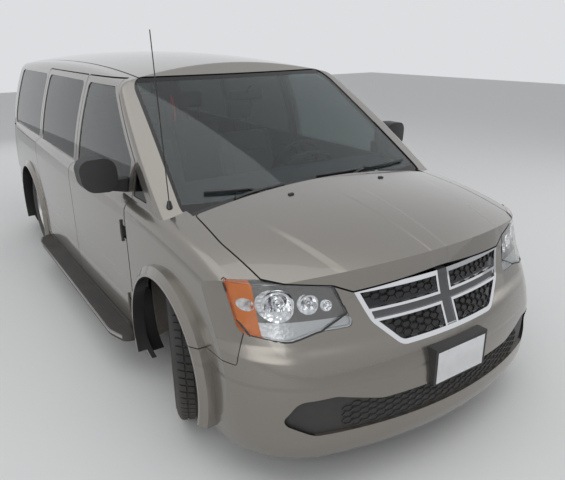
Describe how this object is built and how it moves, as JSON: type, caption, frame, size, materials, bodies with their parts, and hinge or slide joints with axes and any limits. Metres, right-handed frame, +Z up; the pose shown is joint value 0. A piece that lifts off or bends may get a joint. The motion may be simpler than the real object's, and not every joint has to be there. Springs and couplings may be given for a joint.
{
  "type": "minivan",
  "caption": "Seven-seat minivan with hinged front doors, hood and tailgate, turning wheels, steering, running boards and whip antenna.",
  "frame": {"origin": "on the ground, midway along and across the body", "axes": "+Y towards the tail, +X towards the driver's side (the van's left), +Z up"},
  "size_m": [2.2854, 5.1722, 1.8854],
  "materials": {
    "paint": "metallic clear coat",
    "underbody": "satin",
    "bright_trim": "polished",
    "black_trim": "grained",
    "lamp_bowl": "mirror",
    "clear_lens": "clear",
    "red_lens": "gloss",
    "window_glass": "tinted",
    "cabin_plastic": "grained",
    "seat_cloth": "woven",
    "cast_metal": "cast",
    "steel": "satin",
    "tank_plastic": "matt",
    "black_metal": "satin",
    "tyre_rubber": "matt",
    "wheel_alloy": "satin"
  },
  "bodies": {
    "van": {"floor_pan": "underbody", "body_sides": "paint", "roof_panel": "paint", "front_fenders": "paint", "front_bumper": "paint", "rear_bumper": "paint", "grille_frame": "bright_trim", "grille_mesh": "black_trim", "intake_grille": "black_trim", "plate_holder": "black_trim", "headlamp_housings": "lamp_bowl", "headlamp_lenses": "clear_lens", "tail_lamps": "red_lens", "windshield": "window_glass", "side_glass": "window_glass", "cowl_panel": "black_trim", "running_boards": "black_trim", "sliding_doors": "paint", "dashboard": "cabin_plastic", "front_seats": "seat_cloth", "middle_seats": "seat_cloth", "rear_bench": "seat_cloth", "engine_block": "cast_metal", "radiator": "cast_metal", "front_aprons": "underbody", "front_subframe": "steel", "rear_axle": "steel", "fuel_tank": "tank_plastic", "exhaust": "steel", "antenna": "black_metal", "hinges": "steel"},
    "hood": {"hood": "paint"},
    "door_left": {"front_door_left": "paint", "front_door_glass_left": "window_glass", "door_mirror_left": "black_trim"},
    "door_right": {"front_door_right": "paint", "front_door_glass_right": "window_glass", "door_mirror_right": "black_trim"},
    "tailgate": {"liftgate": "paint", "liftgate_glass": "window_glass"},
    "knuckle_left": {"knuckle_left": "steel"},
    "knuckle_right": {"knuckle_right": "steel"},
    "steering_wheel": {"steering_wheel": "cabin_plastic"},
    "wheel_front_left": {"tyre_front_left": "tyre_rubber", "wheel_front_left": "wheel_alloy"},
    "wheel_front_right": {"tyre_front_right": "tyre_rubber", "wheel_front_right": "wheel_alloy"},
    "wheel_rear_left": {"tyre_rear_left": "tyre_rubber", "wheel_rear_left": "wheel_alloy"},
    "wheel_rear_right": {"tyre_rear_right": "tyre_rubber", "wheel_rear_right": "wheel_alloy"}
  },
  "joints": [
    {"name": "hood_hinge", "type": "hinge", "parent": "van", "child": "hood", "pos_m": [0, -1.572, 1.104], "axis": [-1, 0, 0], "range_deg": [0, 55]},
    {"name": "front_door_left_hinge", "type": "hinge", "parent": "van", "child": "door_left", "pos_m": [0.97, -1.085, 0.9], "axis": [0, 0, -1], "range_deg": [0, 65]},
    {"name": "front_door_right_hinge", "type": "hinge", "parent": "van", "child": "door_right", "pos_m": [-0.97, -1.085, 0.9], "axis": [0, 0, 1], "range_deg": [0, 65]},
    {"name": "tailgate_hinge", "type": "hinge", "parent": "van", "child": "tailgate", "pos_m": [0, 2.3905, 1.68196], "axis": [1, 0, 0], "range_deg": [0, 80]},
    {"name": "steer_left", "type": "hinge", "parent": "van", "child": "knuckle_left", "pos_m": [0.75, -1.61, 0.195], "axis": [-0.2067, 0, 0.9784], "range_deg": [-15, 55]},
    {"name": "steer_right", "type": "hinge", "parent": "van", "child": "knuckle_right", "pos_m": [-0.75, -1.61, 0.195], "axis": [0.2067, 0, 0.9784], "range_deg": [-15, 55]},
    {"name": "steering_wheel_turn", "type": "hinge", "parent": "van", "child": "steering_wheel", "pos_m": [0.39, -0.77, 1.01], "axis": [0, 0.9063, 0.4226], "range_deg": [-210, 770]},
    {"name": "wheel_front_left_spin", "type": "hinge", "parent": "knuckle_left", "child": "wheel_front_left", "pos_m": [0.81835, -1.64772, 0.362], "axis": [0.9397, -0.342, 0], "continuous": true},
    {"name": "wheel_front_right_spin", "type": "hinge", "parent": "knuckle_right", "child": "wheel_front_right", "pos_m": [-0.81835, -1.57228, 0.362], "axis": [0.9397, -0.342, 0], "continuous": true},
    {"name": "wheel_rear_left_spin", "type": "hinge", "parent": "van", "child": "wheel_rear_left", "pos_m": [0.825, 1.468, 0.362], "axis": [1, 0, 0], "continuous": true},
    {"name": "wheel_rear_right_spin", "type": "hinge", "parent": "van", "child": "wheel_rear_right", "pos_m": [-0.825, 1.468, 0.362], "axis": [1, 0, 0], "continuous": true}
  ],
  "couplings": [
    {"joint": "steer_right", "follows": "steer_left", "ratio": 1},
    {"joint": "steering_wheel_turn", "follows": "steer_left", "ratio": 14}
  ]
}
